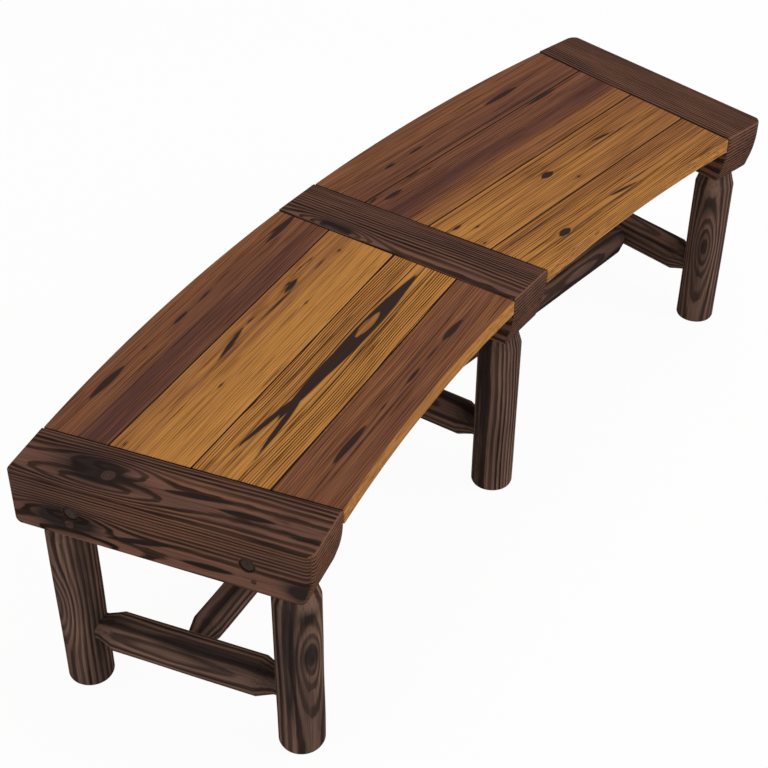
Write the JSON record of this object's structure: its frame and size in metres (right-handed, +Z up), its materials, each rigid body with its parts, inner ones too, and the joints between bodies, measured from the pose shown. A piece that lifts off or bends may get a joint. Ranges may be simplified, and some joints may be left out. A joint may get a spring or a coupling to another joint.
{
  "type": "tree bench",
  "caption": "Rustic curved backless bench: wooden plank seat in sections between charred timber beams, on round log legs tied by round stretchers.",
  "frame": {"origin": "on the floor, under the middle of the bench's box", "axes": "+X along the bench's length, towards the right-hand section; +Y towards the convex outer side; +Z up"},
  "size_m": [1.6624, 0.5686, 0.452],
  "materials": {
    "charred_beam": "charred and brushed softwood, satin",
    "charred_log": "charred and brushed softwood log, satin",
    "charred_rail": "charred and brushed softwood log, satin",
    "brown_plank": "red-brown scorched softwood with dark streaks, satin",
    "honey_plank": "honey softwood with dark streaks, satin",
    "cleat_softwood": "planed softwood",
    "blackened_steel": "blackened",
    "zinc_steel": "zinc plated"
  },
  "bodies": {
    "root": {"beam_left": "charred_beam", "beam_middle": "charred_beam", "beam_right": "charred_beam", "leg_left_inner": "charred_log", "leg_left_outer": "charred_log", "leg_middle_inner": "charred_log", "leg_middle_outer": "charred_log", "leg_right_inner": "charred_log", "leg_right_outer": "charred_log", "cross_stretcher_left": "charred_rail", "cross_stretcher_middle": "charred_rail", "cross_stretcher_right": "charred_rail", "long_stretcher_left": "charred_rail", "long_stretcher_right": "charred_rail", "plank_left_inner": "brown_plank", "plank_left_second": "honey_plank", "plank_left_third": "honey_plank", "plank_left_outer": "brown_plank", "plank_right_inner": "brown_plank", "plank_right_second": "honey_plank", "plank_right_third": "honey_plank", "plank_right_outer": "brown_plank", "cleat_left_end": "cleat_softwood", "cleat_left_middle": "cleat_softwood", "cleat_right_end": "cleat_softwood", "cleat_right_middle": "cleat_softwood", "bolt_left_inner": "blackened_steel", "nut_left_inner": "blackened_steel", "bolt_left_outer": "blackened_steel", "nut_left_outer": "blackened_steel", "bolt_middle_inner": "blackened_steel", "nut_middle_inner": "blackened_steel", "bolt_middle_outer": "blackened_steel", "nut_middle_outer": "blackened_steel", "bolt_right_inner": "blackened_steel", "nut_right_inner": "blackened_steel", "bolt_right_outer": "blackened_steel", "nut_right_outer": "blackened_steel", "screw_left_end_inner": "zinc_steel", "screw_left_end_second": "zinc_steel", "screw_left_end_third": "zinc_steel", "screw_left_end_outer": "zinc_steel", "screw_left_middle_inner": "zinc_steel", "screw_left_middle_second": "zinc_steel", "screw_left_middle_third": "zinc_steel", "screw_left_middle_outer": "zinc_steel", "screw_right_end_inner": "zinc_steel", "screw_right_end_second": "zinc_steel", "screw_right_end_third": "zinc_steel", "screw_right_end_outer": "zinc_steel", "screw_right_middle_inner": "zinc_steel", "screw_right_middle_second": "zinc_steel", "screw_right_middle_third": "zinc_steel", "screw_right_middle_outer": "zinc_steel"}
  },
  "joints": []
}
